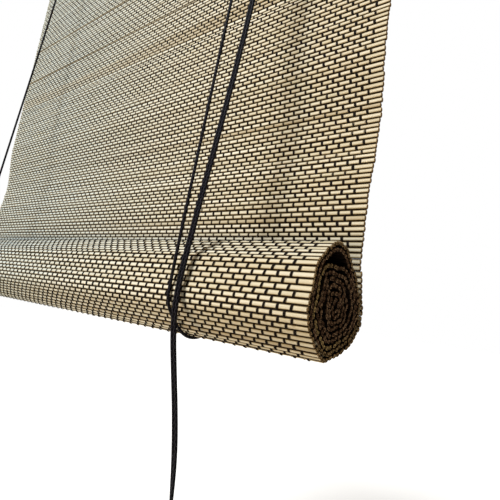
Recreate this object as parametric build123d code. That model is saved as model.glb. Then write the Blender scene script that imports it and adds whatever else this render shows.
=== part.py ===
from build123d import *
import math
import os

# Driving dimensions in millimetres
BLIND_WIDTH = 600.0
REED_PITCH = 3.6
REED_THICKNESS = 2.9
REED_NECK = 1.1
MAT_LEAN_DEG = 6.0
CORD_DIAMETER = 2.3
RIGHT_CORD_FROM_END = 108.4
LEFT_CORD_FROM_END = 121.0
RAIL_HEIGHT = 26.0
RAIL_DEPTH = 22.0
RAIL_DROP = 12.0
WALL_TO_MAT = 24.0
DROP_LENGTH = 504.0
WALL_HOLE_SPACING = 480.0
WALL_HOLE_RADIUS = 2.5

# Places that follow from them: X runs along the reeds, the wall is the plane Y = 0
HALF_WIDTH = BLIND_WIDTH / 2
CORD_RADIUS = CORD_DIAMETER / 2
LEAN = math.radians(MAT_LEAN_DEG)
RAIL_TOP = -RAIL_DROP
RAIL_BOTTOM = RAIL_TOP - RAIL_HEIGHT
MAT_Y = -WALL_TO_MAT
RAIL_BACK = MAT_Y - REED_THICKNESS / 2
RAIL_FRONT = RAIL_BACK - RAIL_DEPTH
STRIP_FRONT = MAT_Y + REED_THICKNESS / 2
BEND_Z = RAIL_BOTTOM - 2.0
RIGHT_CORD_X = HALF_WIDTH - RIGHT_CORD_FROM_END
LEFT_CORD_X = LEFT_CORD_FROM_END - HALF_WIDTH


def hang(forward, height):
    """Place of a point of the leaning mat: forward of its plane, height above the roll's level."""
    base_y = MAT_Y - DROP_LENGTH * math.sin(LEAN)
    base_z = BEND_Z - DROP_LENGTH * math.cos(LEAN)
    y = base_y + height * math.sin(LEAN) - forward * math.cos(LEAN)
    z = base_z + height * math.cos(LEAN) + forward * math.sin(LEAN)
    return y, z


# Mat: one woven sheet of reeds that hangs from the rail and ends in the roll
MAT_TOP = RAIL_TOP - 2.0
ROLL_CORE = (24.5, 12.0)
TURN_SPACING = 3.2
TURN_COUNT = 7.8
STEPS_PER_TURN = 120
NEAR_STEPS = 16
SMOOTHINGS = 8
MAT_WAVE = 5.2
WAVE_HEIGHT = 140.0
WAVE_HALF_LENGTH = 62.0
JOIN_HEIGHT = 58.0
JOIN_STEP = -6
MID_STEP = 0.4

# Outer face of the roll in the leaning frame, from its back, under it, up its front and over its top
ROLL_OUTLINE = [
    (-10.6, 6.8), (-6.1, -0.4), (1.8, -7.6), (11.9, -12.6), (20.9, -15.7), (29.5, -18.0), (35.5, -15.8),
    (46.4, -6.5), (54.2, 5.0), (55.1, 12.6), (53.3, 20.9), (52.2, 29.5), (49.3, 37.8), (42.1, 44.6),
    (33.0, 51.0), (23.4, 51.8), (15.2, 48.0), (7.0, 39.5), (-1.5, 30.5),
]

# Loose places inside the roll, where the inner turns sank: turn, angle, half width in degrees, depth
LOOSE_PLACES = [(2, 84.0, 34.0, 7.6), (4, 5.0, 60.0, 2.6), (5, 70.0, 60.0, 2.2)]


def outline_radii():
    """Polar form of the outline about the core: turn number and radius of the mat's middle."""
    radii = []
    for forward, height in ROLL_OUTLINE:
        away = forward - ROLL_CORE[0]
        up = height - ROLL_CORE[1]
        angle = math.degrees(math.atan2(up, away)) % 360.0
        turn = ((angle - 180.0) % 360.0) / 360.0
        radius = math.hypot(away, up) - REED_THICKNESS / 2 + TURN_SPACING * turn
        radii.append((turn, radius))
    radii.sort()
    first_turn, first_radius = radii[0]
    radii.append((first_turn + 1.0, first_radius))
    return radii


RADII = outline_radii()


def start_radius(turn):
    """Radius of the spiral at this part of a turn before any winding, by a smooth cubic."""
    first = RADII[0][0]
    place = (turn - first) % 1.0 + first
    count = len(RADII) - 1
    index = max(i for i in range(count) if RADII[i][0] <= place)
    before = RADII[index - 1] if index > 0 else (RADII[count - 1][0] - 1.0, RADII[count - 1][1])
    left = RADII[index]
    right = RADII[index + 1]
    after = RADII[index + 2] if index + 2 <= count else (RADII[1][0] + 1.0, RADII[1][1])
    span = right[0] - left[0]
    s = (place - left[0]) / span
    slope_left = (right[1] - before[1]) / (right[0] - before[0]) * span
    slope_right = (after[1] - left[1]) / (after[0] - left[0]) * span
    return (
        left[1] * (1 + 2 * s) * (1 - s) ** 2
        + slope_left * s * (1 - s) ** 2
        + right[1] * s * s * (3 - 2 * s)
        - slope_right * s * s * (1 - s)
    )


def ray(step):
    """Unit direction from the core at a step of the winding, which starts at the roll's back."""
    angle = math.pi + 2 * math.pi * step / STEPS_PER_TURN
    return math.cos(angle), math.sin(angle)


def room_at(turn, step):
    """Depth of the loose place, if any, that this turn leaves outside itself at this step."""
    angle = (180.0 + 360.0 * step / STEPS_PER_TURN) % 360.0
    room = 0.0
    for loose_turn, middle, half_width, depth in LOOSE_PLACES:
        away = (angle - middle + 180.0) % 360.0 - 180.0
        if turn == loose_turn and abs(away) < half_width:
            room += depth * 0.5 * (1.0 + math.cos(math.pi * away / half_width))
    return room


def inside_limit(radii, step):
    """Largest radius at a step that keeps one spacing away from the turn outside it."""
    ray_x, ray_y = ray(step)
    limit = radii[step - STEPS_PER_TURN] - TURN_SPACING
    for near in range(-NEAR_STEPS, NEAR_STEPS + 1):
        outer = step - STEPS_PER_TURN + near
        if outer not in radii:
            continue
        outer_x, outer_y = ray(outer)
        along_ray = radii[outer] * (ray_x * outer_x + ray_y * outer_y)
        inner_part = TURN_SPACING ** 2 - radii[outer] ** 2 + along_ray ** 2
        if inner_part > 0.0:
            limit = min(limit, along_ray - math.sqrt(inner_part))
    return limit


def wind():
    """Radius of the mat's middle at every step: each turn lies inside the last and rounds off."""
    radii = {}
    for step in range(JOIN_STEP, STEPS_PER_TURN):
        turn = step / STEPS_PER_TURN
        radii[step] = start_radius(turn) - TURN_SPACING * turn
    for turn in range(1, math.ceil(TURN_COUNT)):
        steps = range(turn * STEPS_PER_TURN, (turn + 1) * STEPS_PER_TURN)
        for step in steps:
            radii[step] = inside_limit(radii, step) - room_at(turn, step)
        limits = {step: radii[step] for step in steps}
        for smoothing in range(SMOOTHINGS):
            for step in steps[:-1]:
                mean = (radii[step - 1] + 2 * radii[step] + radii[step + 1]) / 4
                radii[step] = min(limits[step], mean)
    return radii


WINDING = wind()


def spiral(step):
    """Middle of the mat at a step of the winding."""
    ray_x, ray_y = ray(step)
    return ROLL_CORE[0] + WINDING[step] * ray_x, ROLL_CORE[1] + WINDING[step] * ray_y


def wave(height):
    """Gentle hollow of the hanging mat, as a raised cosine."""
    place = (height - WAVE_HEIGHT) / WAVE_HALF_LENGTH
    if abs(place) >= 1.0:
        return 0.0
    return -MAT_WAVE * 0.5 * (1.0 + math.cos(math.pi * place))


def mat_middle():
    """Middle line of the mat as (y, z) points in small steps, from the rail to the roll's core."""
    points = [(MAT_Y, MAT_TOP), (MAT_Y, BEND_Z)]
    height = DROP_LENGTH - MID_STEP
    while height > JOIN_HEIGHT:
        points.append(hang(wave(height), height))
        height -= MID_STEP * 4
    start = (0.0, JOIN_HEIGHT)
    end = spiral(JOIN_STEP)
    past = spiral(JOIN_STEP + 1)
    reach = math.dist(start, end)
    pull = math.dist(end, past)
    end_slope = ((past[0] - end[0]) / pull * reach, (past[1] - end[1]) / pull * reach)
    for step in range(41):
        s = step / 41
        rise = s * s * (3 - 2 * s)
        lead = s * (1 - s) ** 2
        tail = s * s * (s - 1)
        forward = start[0] + (end[0] - start[0]) * rise + tail * end_slope[0]
        level = start[1] + (end[1] - start[1]) * rise - lead * reach + tail * end_slope[1]
        points.append(hang(forward, level))
    for step in range(JOIN_STEP, int(TURN_COUNT * STEPS_PER_TURN)):
        points.append(hang(*spiral(step)))
    return points


def along(points, spacing):
    """Points at an even spacing on a polyline, each with its unit direction."""
    places = []
    travelled = 0.0
    wanted = 0.0
    for start, end in zip(points, points[1:]):
        length = math.dist(start, end)
        if length == 0.0:
            continue
        direction = ((end[0] - start[0]) / length, (end[1] - start[1]) / length)
        while wanted <= travelled + length:
            part = wanted - travelled
            spot = (start[0] + direction[0] * part, start[1] + direction[1] * part)
            places.append((spot, direction))
            wanted += spacing
        travelled += length
    return places


MIDDLE = mat_middle()
STATIONS = along(MIDDLE, REED_PITCH / 4)
REED_COUNT = (len(STATIONS) - 1) // 4
DROP_REEDS = int((MAT_TOP - RAIL_BOTTOM + DROP_LENGTH) / REED_PITCH)
print("reeds", REED_COUNT, "of which in the drop", DROP_REEDS, "mat length", REED_COUNT * REED_PITCH)


def section_side(side):
    """One face of the mat's section: a valley between reeds, then the reed's flat or its crest."""
    outline = []
    for index in range(REED_COUNT * 4 + 1):
        (y, z), (dy, dz) = STATIONS[index]
        quarter = index % 4
        rounded = index > DROP_REEDS * 4
        if quarter == 0:
            half = REED_NECK / 2
        elif quarter == 2 and rounded:
            half = REED_THICKNESS / 2
        elif quarter in (1, 3) and not rounded:
            half = REED_THICKNESS / 2
        else:
            continue
        outline.append((y - dz * half * side, z + dy * half * side))
    return outline


SLIT_COUNT = 120
SLIT_WIDTH = 0.5
SLIT_MARGIN = 12.0
FIRST_SLIT = 10
NAIL_COUNT = 7
NAIL_SPACING = 90.0
NAIL_RADIUS = 0.7
NAIL_HOLE_RADIUS = 0.75
NAIL_Z = (RAIL_TOP + RAIL_BOTTOM) / 2
EYE_Z = NAIL_Z - 3.0
EYE_SHANK_RADIUS = 0.9
EYE_HOLE_RADIUS = 0.95
SCREW_HOLE_RADIUS = 1.55


def across(radius, x, y_from, y_to, z):
    """Round bar that runs from front to back."""
    bar = Cylinder(radius, abs(y_to - y_from))
    return Location((x, (y_from + y_to) / 2, z), (90, 0, 0)) * bar


def upright(radius, x, y, z_from, z_to):
    """Round bar that runs up and down."""
    return Location((x, y, (z_from + z_to) / 2)) * Cylinder(radius, abs(z_to - z_from))


def nail_places():
    return [NAIL_SPACING * (index - (NAIL_COUNT - 1) / 2) for index in range(NAIL_COUNT)]


def bamboo_mat():
    """Reed mat: the ridged section is drawn once along the middle line and extruded sideways."""
    front = section_side(1.0)
    back = section_side(-1.0)
    back.reverse()
    corners = [Vector(-HALF_WIDTH, y, z) for y, z in front + back]
    section = Face(Wire.make_polygon(corners, close=True))
    mat = Solid.extrude(section, Vector(BLIND_WIDTH, 0, 0))
    cutters = []
    for slit in range(SLIT_COUNT):
        (y, z), (dy, dz) = STATIONS[(FIRST_SLIT + slit) * 4]
        turned = Location((0, y, z), (math.degrees(math.atan2(dz, dy)), 0, 0))
        cutters.append(turned * Box(BLIND_WIDTH - 2 * SLIT_MARGIN, SLIT_WIDTH, 3 * REED_NECK))
    for x in nail_places():
        cutters.append(across(NAIL_HOLE_RADIUS, x, STRIP_FRONT, RAIL_BACK, NAIL_Z))
    for x in (LEFT_CORD_X, RIGHT_CORD_X):
        cutters.append(across(EYE_HOLE_RADIUS, x, STRIP_FRONT, RAIL_BACK, EYE_Z))
    return mat - cutters


# Head rail, the lath behind the mat and what fixes them
STRIP_THICKNESS = 4.0
STRIP_HEIGHT = 20.0
STRIP_BACK = STRIP_FRONT + STRIP_THICKNESS
RAIL_ROUND = 1.2
STRIP_ROUND = 1.0
NAIL_IN_RAIL = 10.0
NAIL_TIP_GAP = 0.5
NAIL_HEAD_RADIUS = 1.8
NAIL_HEAD_HEIGHT = 0.8
SCREW_RADIUS = 1.5
SCREW_HEAD_RADIUS = 2.9
SCREW_HEAD_HEIGHT = 1.6
SCREW_HEAD_ROUND = 1.0
SCREW_LENGTH = 11.0
SCREW_HOLE_DEPTH = 12.0
BRACKET_THICKNESS = 2.0
BRACKET_WIDTH = 20.0
BRACKET_REACH = RAIL_FRONT + 4.0
BRACKET_RISE = 12.0
BRACKET_HOLE_RADIUS = 1.7
BEND_OUTSIDE = 3.0
BEND_INSIDE = 1.0
BRACKET_ROUND = 5.0
BRACKET_HOLES_Y = (RAIL_BACK - 6.0, RAIL_BACK - 14.0)
EYE_RING_RADIUS = 3.3
EYE_Y = STRIP_BACK + 5.6
EYE_IN_WOOD = 12.0

# Pulley and lock: the sheaves stand in two planes in front of the rail
SHEAVE_WIDTH = 5.4
SHEAVE_RADIUS = 10.2
PITCH_RADIUS = 9.0
GROOVE_RADIUS = 1.5
RIM_CHAMFER = 0.4
HUB_RADIUS = 3.2
RECESS_RADIUS = 5.6
RECESS_DEPTH = 0.4
AXLE_RADIUS = 2.0
AXLE_CLEARANCE = 0.05
PLATE = 1.5
PLATE_ROUND = 3.0
PIN_HEAD_RIM = 1.2
PIN_HEAD_HEIGHT = 0.9
SIDE_GAP = 0.3
REAR_PLANE = RAIL_FRONT - PLATE - SIDE_GAP - SHEAVE_WIDTH / 2
FRONT_PLANE = REAR_PLANE - SHEAVE_WIDTH - 2 * SIDE_GAP
SHEAVE_Z = (RAIL_TOP + RAIL_BOTTOM) / 2
LEFT_SHEAVE_X = LEFT_CORD_X + PITCH_RADIUS
LOCK_SHEAVE_X = RIGHT_CORD_X + PITCH_RADIUS
PULL_X = LOCK_SHEAVE_X + PITCH_RADIUS
HOUSING_TOP = RAIL_TOP
EAR_X = 14.0
LOCK_EAR_X = 17.0
EAR_MARGIN = 5.0
PULLEY_BOTTOM = SHEAVE_Z - 11.0
PULLEY_CHEEK_HALF = 8.0
LOCK_BACK_RIGHT = 28.0
LOCK_FRONT_LEFT = -6.8
LOCK_FRONT_RIGHT = 24.0
LOCK_BOTTOM = RAIL_BOTTOM - 14.0
ANVIL_RADIUS = 2.0
ANVIL_Z = RAIL_BOTTOM - 6.0
ANVIL_GAP = 0.1
ANVIL_X = PULL_X - CORD_RADIUS - ANVIL_GAP - ANVIL_RADIUS
PAWL_PIVOT_X = PULL_X + 9.9
PAWL_PIVOT_Z = RAIL_BOTTOM - 2.0
PAWL_PIN_RADIUS = 1.5
PAWL_GAP = 0.3
PINCH_Z = RAIL_BOTTOM - 8.0
TOOTH_DEPTH = 0.9
TOOTH_PITCH = 2.2
TOOTH_COUNT = 4
REAR_CHEEK = REAR_PLANE - SHEAVE_WIDTH / 2 - SIDE_GAP
FRONT_CHEEK = FRONT_PLANE - SHEAVE_WIDTH / 2 - SIDE_GAP


def head_rail():
    """Planed wooden batten with softened long edges and the holes of its fastenings."""
    middle_y = (RAIL_BACK + RAIL_FRONT) / 2
    middle_z = (RAIL_TOP + RAIL_BOTTOM) / 2
    rail = Location((0, middle_y, middle_z)) * Box(BLIND_WIDTH, RAIL_DEPTH, RAIL_HEIGHT)
    rail = fillet(rail.edges().filter_by(Axis.X), RAIL_ROUND)
    holes = []
    for x in nail_places():
        holes.append(across(NAIL_HOLE_RADIUS, x, RAIL_BACK, RAIL_BACK - NAIL_IN_RAIL, NAIL_Z))
    for x in (LEFT_CORD_X, RIGHT_CORD_X):
        holes.append(across(EYE_HOLE_RADIUS, x, RAIL_BACK, STRIP_BACK - EYE_IN_WOOD, EYE_Z))
    for x, y in bracket_screw_places():
        holes.append(upright(SCREW_HOLE_RADIUS, x, y, RAIL_TOP, RAIL_TOP - SCREW_HOLE_DEPTH))
    for x, z in ear_screw_places():
        holes.append(across(SCREW_HOLE_RADIUS, x, RAIL_FRONT, RAIL_FRONT + SCREW_HOLE_DEPTH, z))
    return rail - holes


def clamp_strip():
    """Thin lath that holds the mat's top against the back of the rail."""
    middle_y = (STRIP_FRONT + STRIP_BACK) / 2
    strip = Location((0, middle_y, NAIL_Z)) * Box(BLIND_WIDTH, STRIP_THICKNESS, STRIP_HEIGHT)
    strip = fillet(strip.edges().filter_by(Axis.X).sort_by(Axis.Y)[-2:], STRIP_ROUND)
    holes = [across(NAIL_HOLE_RADIUS, x, STRIP_FRONT, STRIP_BACK, NAIL_Z) for x in nail_places()]
    for x in (LEFT_CORD_X, RIGHT_CORD_X):
        holes.append(across(EYE_HOLE_RADIUS, x, STRIP_FRONT, STRIP_BACK, EYE_Z))
    return strip - holes


def strip_nails():
    """Wire nails driven from the lath through the mat into the rail."""
    nails = []
    for x in nail_places():
        shank = across(NAIL_RADIUS, x, STRIP_BACK, RAIL_BACK - NAIL_IN_RAIL + NAIL_TIP_GAP, NAIL_Z)
        head = across(NAIL_HEAD_RADIUS, x, STRIP_BACK, STRIP_BACK + NAIL_HEAD_HEIGHT, NAIL_Z)
        nails.append(shank + head)
    return Compound(children=nails)


def screw_eye(x):
    """Closed wire eye screwed into the lath and the rail, its ring lying level."""
    ring_edge = STRIP_BACK - EYE_IN_WOOD
    shank = across(EYE_SHANK_RADIUS, x, ring_edge, EYE_Y - EYE_RING_RADIUS + EYE_SHANK_RADIUS / 2, EYE_Z)
    ring = Location((x, EYE_Y, EYE_Z)) * Torus(EYE_RING_RADIUS, EYE_SHANK_RADIUS)
    return shank + ring


def bracket_screw_places():
    places = []
    for x in (-WALL_HOLE_SPACING / 2, WALL_HOLE_SPACING / 2):
        for y in BRACKET_HOLES_Y:
            places.append((x, y))
    return places


def ear_screw_places():
    places = [(LEFT_SHEAVE_X - EAR_X, SHEAVE_Z), (LEFT_SHEAVE_X + EAR_X, SHEAVE_Z)]
    places += [(LOCK_SHEAVE_X - EAR_X, SHEAVE_Z), (LOCK_SHEAVE_X + LOCK_EAR_X, SHEAVE_Z)]
    return places


def wall_bracket(x):
    """Bent steel angle: one leg on the rail's top, the other up against the wall."""
    line = Polyline(
        (x, BRACKET_REACH, RAIL_TOP),
        (x, 0, RAIL_TOP),
        (x, 0, BRACKET_RISE),
        (x, -BRACKET_THICKNESS, BRACKET_RISE),
        (x, -BRACKET_THICKNESS, RAIL_TOP + BRACKET_THICKNESS),
        (x, BRACKET_REACH, RAIL_TOP + BRACKET_THICKNESS),
        close=True,
    )
    strap = extrude(make_face(line), BRACKET_WIDTH / 2, dir=(1, 0, 0), both=True)
    outer = strap.edges().filter_by(Axis.X).sort_by_distance((x, 0, RAIL_TOP))[0]
    strap = fillet(outer, BEND_OUTSIDE)
    inner = strap.edges().filter_by(Axis.X)
    inner = inner.sort_by_distance((x, -BRACKET_THICKNESS, RAIL_TOP + BRACKET_THICKNESS))[0]
    strap = fillet(inner, BEND_INSIDE)
    top_corners = strap.edges().filter_by(Axis.Y).group_by(Axis.Z)[-1]
    strap = fillet(top_corners, BRACKET_ROUND)
    end_corners = strap.edges().filter_by(Axis.Z).group_by(Axis.Y)[0]
    strap = fillet(end_corners, BRACKET_ROUND)
    holes = [across(WALL_HOLE_RADIUS, x, 0.0, -BRACKET_THICKNESS, 0.0)]
    for y in BRACKET_HOLES_Y:
        holes.append(upright(BRACKET_HOLE_RADIUS, x, y, RAIL_TOP, RAIL_TOP + BRACKET_THICKNESS))
    return strap - holes


def pan_screw():
    """Round-headed wood screw, head up, its seat at the origin."""
    head = Cylinder(SCREW_HEAD_RADIUS, SCREW_HEAD_HEIGHT, align=(Align.CENTER, Align.CENTER, Align.MIN))
    head = fillet(head.edges().group_by(Axis.Z)[-1], SCREW_HEAD_ROUND)
    shank = Location((0, 0, -SCREW_LENGTH / 2)) * Cylinder(SCREW_RADIUS, SCREW_LENGTH)
    return head + shank


def bracket_screws():
    seat = RAIL_TOP + BRACKET_THICKNESS
    return Compound(children=[Location((x, y, seat)) * pan_screw() for x, y in bracket_screw_places()])


def ear_screws():
    seat = RAIL_FRONT - PLATE
    places = [Location((x, seat, z), (90, 0, 0)) for x, z in ear_screw_places()]
    return Compound(children=[place * pan_screw() for place in places])


def sheave(x, y):
    """Turned pulley wheel: a round groove in the rim and a bore for its axle."""
    rim = Cylinder(SHEAVE_RADIUS, SHEAVE_WIDTH)
    rim = chamfer(rim.edges(), RIM_CHAMFER)
    groove = Torus(PITCH_RADIUS, GROOVE_RADIUS)
    mouth = Cylinder(SHEAVE_RADIUS, 2 * GROOVE_RADIUS) - Cylinder(PITCH_RADIUS, 2 * GROOVE_RADIUS)
    bore = Cylinder(AXLE_RADIUS + AXLE_CLEARANCE, SHEAVE_WIDTH)
    recess = Cylinder(RECESS_RADIUS, 2 * RECESS_DEPTH) - Cylinder(HUB_RADIUS, 2 * RECESS_DEPTH)
    front_recess = Location((0, 0, SHEAVE_WIDTH / 2)) * recess
    back_recess = Location((0, 0, -SHEAVE_WIDTH / 2)) * recess
    wheel = rim - [groove, mouth, bore, front_recess, back_recess]
    return Location((x, y, SHEAVE_Z), (90, 0, 0)) * wheel


def riveted_pin(radius, x, front_y, z):
    """Pin from the rail's face through both cheeks, held by a flat head outside the front one."""
    outer = front_y - PLATE
    head = across(radius + PIN_HEAD_RIM, x, outer, outer - PIN_HEAD_HEIGHT, z)
    return across(radius, x, RAIL_FRONT, outer, z) + head


def cheek_outline(x, x_low, x_high, z_low):
    """Plate seen from the front, with rounded lower corners."""
    width = x_high - x_low
    height = HOUSING_TOP - z_low
    middle = x + (x_low + x_high) / 2
    plate = Pos(middle, (HOUSING_TOP + z_low) / 2) * RectangleRounded(width, height, PLATE_ROUND)
    top = Pos(middle, HOUSING_TOP - PLATE_ROUND) * Rectangle(width, 2 * PLATE_ROUND)
    return plate + top


def plate_solid(sketch, y_back):
    """Sheet of the housing's thickness whose back lies at y_back, cut to a front-view outline."""
    return Location((0, y_back, 0), (90, 0, 0)) * extrude(sketch, PLATE)


def pulley_housing():
    """Steel strap bent over the sheave, with an ear each side for a screw."""
    x = LEFT_SHEAVE_X
    back_half = EAR_X + EAR_MARGIN
    back = plate_solid(cheek_outline(x, -back_half, back_half, PULLEY_BOTTOM), RAIL_FRONT)
    front = plate_solid(cheek_outline(x, -PULLEY_CHEEK_HALF, PULLEY_CHEEK_HALF, PULLEY_BOTTOM), REAR_CHEEK)
    depth = RAIL_FRONT - REAR_CHEEK + PLATE
    bridge = Box(2 * PULLEY_CHEEK_HALF, depth, PLATE)
    bridge = Location((x, RAIL_FRONT - depth / 2, HOUSING_TOP - PLATE / 2)) * bridge
    holes = [across(AXLE_RADIUS + AXLE_CLEARANCE, x, RAIL_FRONT, REAR_CHEEK - PLATE, SHEAVE_Z)]
    for side in (-EAR_X, EAR_X):
        holes.append(across(SCREW_HOLE_RADIUS, x + side, RAIL_FRONT, RAIL_FRONT - PLATE, SHEAVE_Z))
    return back + front + bridge - holes


def lock_housing():
    """Deeper strap for two sheaves, with the pawl and a fixed anvil pin below them."""
    x = LOCK_SHEAVE_X
    back = plate_solid(cheek_outline(x, -EAR_X - EAR_MARGIN, LOCK_BACK_RIGHT, LOCK_BOTTOM), RAIL_FRONT)
    front = plate_solid(cheek_outline(x, LOCK_FRONT_LEFT, LOCK_FRONT_RIGHT, LOCK_BOTTOM), FRONT_CHEEK)
    depth = RAIL_FRONT - FRONT_CHEEK + PLATE
    bridge = Box(LOCK_FRONT_RIGHT - LOCK_FRONT_LEFT, depth, PLATE)
    bridge_x = x + (LOCK_FRONT_LEFT + LOCK_FRONT_RIGHT) / 2
    bridge = Location((bridge_x, RAIL_FRONT - depth / 2, HOUSING_TOP - PLATE / 2)) * bridge
    anvil = across(ANVIL_RADIUS, ANVIL_X, RAIL_FRONT - PLATE / 2, FRONT_CHEEK - PLATE / 2, ANVIL_Z)
    shell = back + front + bridge + anvil
    holes = [
        across(AXLE_RADIUS + AXLE_CLEARANCE, x, RAIL_FRONT, FRONT_CHEEK - PLATE, SHEAVE_Z),
        across(PAWL_PIN_RADIUS + AXLE_CLEARANCE, PAWL_PIVOT_X, RAIL_FRONT, FRONT_CHEEK - PLATE, PAWL_PIVOT_Z),
    ]
    for side in (-EAR_X, LOCK_EAR_X):
        holes.append(across(SCREW_HOLE_RADIUS, x + side, RAIL_FRONT, RAIL_FRONT - PLATE, SHEAVE_Z))
    return shell - holes


def lock_pawl():
    """Toothed cam that grips both pull cords; its tail is heavy, so it swings shut by itself."""
    nose_x = PULL_X + CORD_RADIUS + PAWL_GAP
    top_tooth = PINCH_Z + TOOTH_PITCH * (TOOTH_COUNT - 1) / 2
    points = [(nose_x + TOOTH_DEPTH, top_tooth + TOOTH_PITCH / 2)]
    for index in range(TOOTH_COUNT):
        level = top_tooth - index * TOOTH_PITCH
        points.append((nose_x, level))
        points.append((nose_x + TOOTH_DEPTH, level - TOOTH_PITCH / 2))
    points += [
        (PAWL_PIVOT_X - 2.0, PINCH_Z - 4.6),
        (PAWL_PIVOT_X + 2.5, PAWL_PIVOT_Z - 5.0),
        (PAWL_PIVOT_X + 12.0, PAWL_PIVOT_Z - 9.0),
        (PAWL_PIVOT_X + 14.5, PAWL_PIVOT_Z - 6.0),
        (PAWL_PIVOT_X + 5.0, PAWL_PIVOT_Z + 1.5),
        (PAWL_PIVOT_X, PAWL_PIVOT_Z + 3.4),
        (PAWL_PIVOT_X - 4.0, PAWL_PIVOT_Z + 1.0),
    ]
    length = RAIL_FRONT - PLATE - FRONT_CHEEK - 2 * SIDE_GAP
    middle_y = (FRONT_CHEEK + RAIL_FRONT - PLATE) / 2
    face = make_face(Polyline(*points, close=True))
    cam = Location((0, middle_y + length / 2, 0), (90, 0, 0)) * extrude(face, length)
    bore = across(PAWL_PIN_RADIUS + AXLE_CLEARANCE, PAWL_PIVOT_X, RAIL_FRONT, FRONT_CHEEK, PAWL_PIVOT_Z)
    return cam - bore


# Cord routes, chosen by hand: places as (x, y, z)
ROLL_CLEARANCE = CORD_RADIUS + 0.35
CORNER_SHARE = 0.45
SHEAVE_ENTRY_RADIUS = 12.0


def beside_roll(angle_deg, extra=0.0):
    """Place just outside the roll's outer face, by its angle about the core."""
    turn = (angle_deg - 180.0) / 360.0
    angle = math.radians(angle_deg)
    radius = start_radius(turn) - TURN_SPACING * turn + REED_THICKNESS / 2 + ROLL_CLEARANCE + extra
    return hang(ROLL_CORE[0] + radius * math.cos(angle), ROLL_CORE[1] + radius * math.sin(angle))


LIFT_WRAP = [
    (183, 0.5), (203, 0.8), (225, 0.8), (250, 0.8), (272, 0.8), (292, 1.2), (318, 1.2), (342, 1.2), (2, 1.0),
]


def wrap_points(x):
    """The stretch of a lift cord that goes under the roll, from its back to its front."""
    points = []
    for angle, extra in LIFT_WRAP:
        y, z = beside_roll(angle + (360 if angle < 90 else 0), extra)
        points.append((x, y, z))
    return points


def fillet_radii(points):
    """Arc radius for each corner: a share of the shorter run over the tangent of half the turn."""
    radii = []
    for before, corner, after in zip(points, points[1:], points[2:]):
        run_in = Vector(*corner) - Vector(*before)
        run_out = Vector(*after) - Vector(*corner)
        turn = math.radians(run_in.get_angle(run_out))
        shorter = min(run_in.length, run_out.length)
        radii.append(CORNER_SHARE * shorter / math.tan(turn / 2))
    return radii


def cord(points, name, radii=None):
    """Round cord along straight runs joined by tangent arcs."""
    if radii is None:
        radii = fillet_radii(points)
    path = FilletPolyline(*points, radius=radii)
    tube = sweep(Plane(origin=path @ 0, z_dir=path % 0) * Circle(CORD_RADIUS), path=path)
    ideal = math.pi * CORD_RADIUS ** 2 * path.length
    print(name, "length", round(path.length, 1), "volume ratio", round(tube.volume / ideal, 4))
    print(name, "radii", [round(radius, 1) for radius in radii])
    return tube


FREE_START_Z = PINCH_Z - 5.0
KNOT_RADIUS = 2.6
EYE_KNOT_Z = EYE_Z + EYE_SHANK_RADIUS + KNOT_RADIUS - 0.3


def lift_cord(x, plane):
    """Held cord: knotted on its eye, down behind the mat, under the roll, up its front, over the sheaves."""
    top = SHEAVE_Z + PITCH_RADIUS
    points = [(x, EYE_Y, EYE_KNOT_Z), (x, EYE_Y, EYE_Z - 6.0)] + wrap_points(x)
    points += [
        (x, plane, SHEAVE_Z - 4.0),
        (x, plane, top),
        (PULL_X, plane, top),
        (PULL_X, plane, FREE_START_Z),
    ]
    radii = fillet_radii(points)
    radii[-3] = SHEAVE_ENTRY_RADIUS
    radii[-2:] = [PITCH_RADIUS - 0.001] * 2
    knot = Location((x, EYE_Y, EYE_KNOT_Z)) * Sphere(KNOT_RADIUS)
    return cord(points, "lift cord", radii) + knot


# Free stretch of the two cords: sideways from the blind's right end, forward, height, in millimetres
PULL_ROUTE = [
    (-90.7, 34.0, 432.0), (-90.9, 33.8, 382.0), (-91.3, 35.2, 328.0), (-91.6, 37.6, 276.0),
    (-92.0, 41.2, 224.0), (-92.8, 45.4, 172.0), (-94.4, 50.2, 118.0), (-96.4, 54.6, 66.0),
    (-97.7, 57.8, 26.0), (-97.9, 58.6, 4.0), (-97.8, 56.0, -16.0), (-97.2, 50.8, -38.0),
    (-96.0, 44.2, -66.0), (-94.8, 39.0, -94.0),
]
PULL_START = [(12.0, 0.25), (30.0, 0.85)]
STRAND_HALF_GAP = 1.3

# Hank: the spare length of both cords, wound in upright loops and bound round the middle
HANK_X = HALF_WIDTH - 94.5
HANK_Y = -124.8
HANK_FOLD_Z = -690.0
HANK_RUN = 20 * CORD_DIAMETER
HANK_LAYERS = 3
HANK_ROWS = 10
HANK_INNER_FOLD = 3 * CORD_DIAMETER
HANK_ROW_PITCH = 2.35
HANK_PINCH = 4.5
HANK_OUTSIDE = HANK_INNER_FOLD + (HANK_LAYERS - 1) * CORD_DIAMETER + CORD_RADIUS
HANK_INSIDE = HANK_INNER_FOLD - CORD_RADIUS
HANK_DEPTH = HANK_ROWS * HANK_ROW_PITCH
HANK_MIDDLE_Z = HANK_FOLD_Z - HANK_RUN / 2
TIE_TURNS = 4
TIE_SLACK = 0.8
TIE_ROUND = 1.1
KNOT_DROP = 14.0
KNOT_WIDTH = 9.0
KNOT_HEIGHT = 11.0

# Last corners of the route: sideways of the hank's middle, above its upper fold, turn of the pair
SHOULDER = HANK_OUTSIDE + CORD_RADIUS + 0.1
HANK_ENTRY = [
    (0.0, SHOULDER * math.sqrt(2) + 15.0, 30.0),
    (0.0, SHOULDER * math.sqrt(2), 60.0),
    (SHOULDER, SHOULDER * math.tan(math.pi / 8), 90.0),
    (SHOULDER, 0.0, 90.0),
]


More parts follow.
